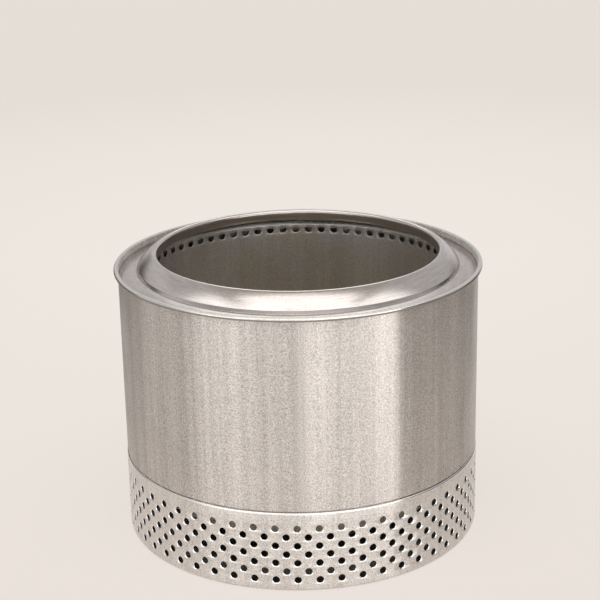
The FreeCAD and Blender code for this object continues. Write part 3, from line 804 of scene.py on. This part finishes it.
def punched_tile(name, middle, width, height, hole_radius, dish_width):
    """A flat upright tile across x with a round hole, and a narrow ring round that if it is to be dished."""
    rest()
    bpy.ops.mesh.primitive_plane_add(size=1, location=middle, rotation=UPRIGHT)
    obj = bpy.context.object
    obj.name = obj.data.name = name
    bpy.ops.object.transform_apply(location=True, rotation=True)
    bpy.ops.object.mode_set(mode="EDIT")
    bpy.ops.transform.resize(value=(1, width, height), center_override=middle)
    bpy.ops.mesh.delete(type="ONLY_FACE")
    pick(obj, "EDGE", lambda centre: abs(centre.z - middle[2]) > 0.4 * height)
    bpy.ops.mesh.subdivide(number_cuts=TILE_ALONG - 1)
    pick(obj, "EDGE", lambda centre: abs(centre.y - middle[1]) > 0.49 * width)
    bpy.ops.mesh.subdivide(number_cuts=TILE_UP - 1)
    dish_radius = hole_radius + dish_width
    bpy.ops.mesh.primitive_circle_add(vertices=HOLE_SIDES, radius=dish_radius, location=middle,
                                      rotation=UPRIGHT)
    bpy.ops.mesh.select_all(action="SELECT")
    bpy.ops.mesh.bridge_edge_loops()
    if dish_width:
        pick(obj, "EDGE", lambda centre: (centre - Vector(middle)).length < dish_radius)
        bpy.ops.mesh.extrude_region_move(TRANSFORM_OT_translate={"value": (0, 0, 0)})
        shrink = hole_radius / dish_radius
        bpy.ops.transform.resize(value=(1, shrink, shrink), center_override=middle)
        bpy.ops.mesh.select_all(action="SELECT")
    return obj


# %% Make a band of the tile
def punched_band(name, radius, columns, rows, tile_height, hole_radius, turn_degrees, dish=(0.0, 0.0)):
    """A cylinder of punched tiles. rows has (height of the holes, offset in tiles) for each row, and dish the
    width and depth of the dished ring round each hole."""
    dish_width, dish_depth = dish
    tile_width = 2 * radius * math.tan(math.pi / columns)
    first_height, first_offset = rows[0]
    obj = punched_tile(name, (radius, first_offset * tile_width, first_height), tile_width, tile_height,
                       hole_radius, dish_width)
    for (low, low_offset), (high, high_offset) in zip(rows, rows[1:]):
        shift = (0, (high_offset - low_offset) * tile_width, high - low)
        bpy.ops.mesh.duplicate_move(TRANSFORM_OT_translate={"value": shift})
    bpy.ops.mesh.select_all(action="SELECT")
    bpy.ops.mesh.remove_doubles(threshold=SAME_PLACE / 2)
    rest()
    bpy.context.view_layer.objects.active = obj
    obj.select_set(True)
    press = obj.modifiers.new("press", "CAST")
    press.cast_type = "CYLINDER"
    press.factor = 1.0
    press.use_z = False
    press.size = radius
    press.use_radius_as_size = False
    bpy.ops.object.modifier_apply(modifier="press")
    bpy.ops.object.mode_set(mode="EDIT")
    if dish_depth:
        centres = [Vector((offset * tile_width, height)) for height, offset in rows]
        reach = hole_radius + dish_width / 2
        pick(obj, "VERT", lambda place: any((place.yz - centre).length < reach for centre in centres))
        bpy.ops.transform.translate(value=(-dish_depth, 0, 0))
    bpy.ops.mesh.select_all(action="SELECT")
    bpy.ops.mesh.spin(steps=columns - 1, angle=TAU * (columns - 1) / columns, dupli=True,
                      center=(0, 0, 0), axis=(0, 0, 1))
    bpy.ops.mesh.select_all(action="SELECT")
    bpy.ops.mesh.remove_doubles(threshold=2 * SAME_PLACE)
    bpy.ops.mesh.normals_make_consistent(inside=False)
    rest()
    obj.rotation_euler.z = math.radians(turn_degrees)
    obj.select_set(True)
    bpy.ops.object.transform_apply(rotation=True)
    return obj


# %% Lengthen a band and turn its edges in
BEND_SEGMENTS = 5
SAME_RADIUS = 0.05 * MM  # wider than SAME_PLACE, because the band's sides are flat between its points


def grow_edge(obj, height, path, bends):
    """Extrude the round edge of a band at a height through (radius, z) corners, then bevel the corners."""
    pick(obj, "VERT", lambda centre: abs(centre.z - height) < SAME_PLACE)
    bpy.ops.mesh.select_mode(type="EDGE")
    path = [(obj.data.vertices[0].co.xy.length, height), *path]
    for (r0, z0), (r1, z1) in zip(path, path[1:]):
        bpy.ops.mesh.extrude_region_move(TRANSFORM_OT_translate={"value": (0, 0, z1 - z0)})
        bpy.ops.transform.resize(value=(r1 / r0, r1 / r0, 1), center_override=(0, 0, 0))
    for number, bend in enumerate(bends, start=1):
        corner, turn = bend_at(path, number)
        pick(obj, "EDGE", lambda centre: abs(centre.z - corner.y) < SAME_PLACE
             and abs(centre.xy.length - corner.x) < SAME_RADIUS)
        bpy.ops.mesh.bevel(offset=bend * math.tan(turn / 2), segments=BEND_SEGMENTS, affect="EDGES",
                           clamp_overlap=False)


# %% [markdown]
# ## Vent base
#
# Seven rows of 54 holes, each row half a pitch on from the last. Above the holes the band turns in over a
# small bend and meets the wall. Below them it turns in to a foot ring, on which the pit stands. The punch
# draws the edge of each hole in a little. That ring and the bend get a bright steel, partly polish and partly
# painted highlight. Bump is too weak for a rim that catches the light at this size, so the dished ring is
# real faces.

# %% Punch the vent base
VENT_COLUMNS = 54
VENT_ROWS = 7
VENT_RADIUS = 3.7 * MM
VENT_TURN = -0.23        # degrees round the axis, which bring the holes to their places in front
VENT_FIRST_ROW = 12.2 * MM
VENT_TOP_MARGIN = 16.82 * MM            # from the last row up to the base's top
VENT_DISH_WIDTH = 0.75 * MM
VENT_DISH_DEPTH = 0.6 * MM

row_pitch = (base_top - VENT_TOP_MARGIN - VENT_FIRST_ROW) / (VENT_ROWS - 1)
vent_rows = [(VENT_FIRST_ROW + k * row_pitch, 0.25 if k % 2 == 0 else -0.25) for k in range(VENT_ROWS)]
vent_base = punched_band("vent_base_sheet", base_middle, VENT_COLUMNS, vent_rows, row_pitch, VENT_RADIUS,
                         VENT_TURN, dish=(VENT_DISH_WIDTH, VENT_DISH_DEPTH))

# %% Turn in the base's shoulder and foot
SHOULDER_RADIUS = 182.9 * MM
SHOULDER_BEND = 1.2 * MM
FOOT_RADIUS = 168.1 * MM
FOOT_BEND = 3.0 * MM

band_top = vent_rows[-1][0] + row_pitch / 2
band_foot = VENT_FIRST_ROW - row_pitch / 2
shoulder_height = base_top - sheet / 2
foot_height = sheet / 2
grow_edge(vent_base, band_top, [(base_middle, shoulder_height), (SHOULDER_RADIUS, shoulder_height)],
          [SHOULDER_BEND])
grow_edge(vent_base, band_foot, [(base_middle, foot_height), (FOOT_RADIUS, foot_height)], [FOOT_BEND])
rest()

# %% Brighten the shoulder and the dished rings, partly with a painted highlight
BASE_EDGE = 0.2 * MM

shoulder_foot = base_top - 2.0 * MM
shoulder_inside = base_middle - 1.5 * MM
dished_radius = base_middle - 0.3 * VENT_DISH_DEPTH


def polish_and_highlight_face(centre):
    """True for a face of the shoulder's bend or of a dished ring, whose bright steel is partly a painted
    highlight.
    """
    radius = centre.xy.length
    on_shoulder = centre.z > shoulder_foot and radius > shoulder_inside
    return on_shoulder or (band_foot < centre.z < band_top and radius < dished_radius)


vent_base.data.materials.append(base_steel)
vent_base.data.materials.append(worn_edge_and_highlight_steel)
count = pick(vent_base, "FACE", polish_and_highlight_face)
vent_base.active_material_index = 1
bpy.ops.object.material_slot_assign()
print(f"burnished faces on the base: {count}")
finish_sheet(vent_base, sheet, BASE_EDGE)
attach(vent_base, "pit")
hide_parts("vent_base")

# %% [markdown]
# ## Chamber wall
#
# A plain tube with one row of jets just under its top edge, where hot air from the jacket blows in over the
# fire. It is the same punched tile, in a single row, and the tube below is its lower edge pulled down.

# %% Punch the chamber wall
JETS = 70
JET_RADIUS = 3.9 * MM
JET_TURN = 0.63 + 180 / JETS            # degrees round the axis
JET_BAND = 12.0 * MM     # height of the punched band, with the jets in its middle
CHAMBER_LOOP = 160 * MM  # height of an edge loop that halves the tube's long faces
CHAMBER_EDGE = 0.22 * MM

jet_height = chamber_top - JET_BAND / 2
chamber_wall = punched_band("chamber_wall_sheet", chamber_middle, JETS, [(jet_height, 0.0)], JET_BAND,
                            JET_RADIUS, JET_TURN)
grow_edge(chamber_wall, jet_height - JET_BAND / 2,
          [(chamber_middle, CHAMBER_LOOP), (chamber_middle, chamber_bottom)], [])
rest()
chamber_wall.data.materials.append(chamber_steel)
chamber_wall.data.materials.append(worn_edge_and_highlight_steel)
finish_sheet(chamber_wall, sheet, CHAMBER_EDGE)
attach(chamber_wall, "pit")
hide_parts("chamber_wall")


rest()
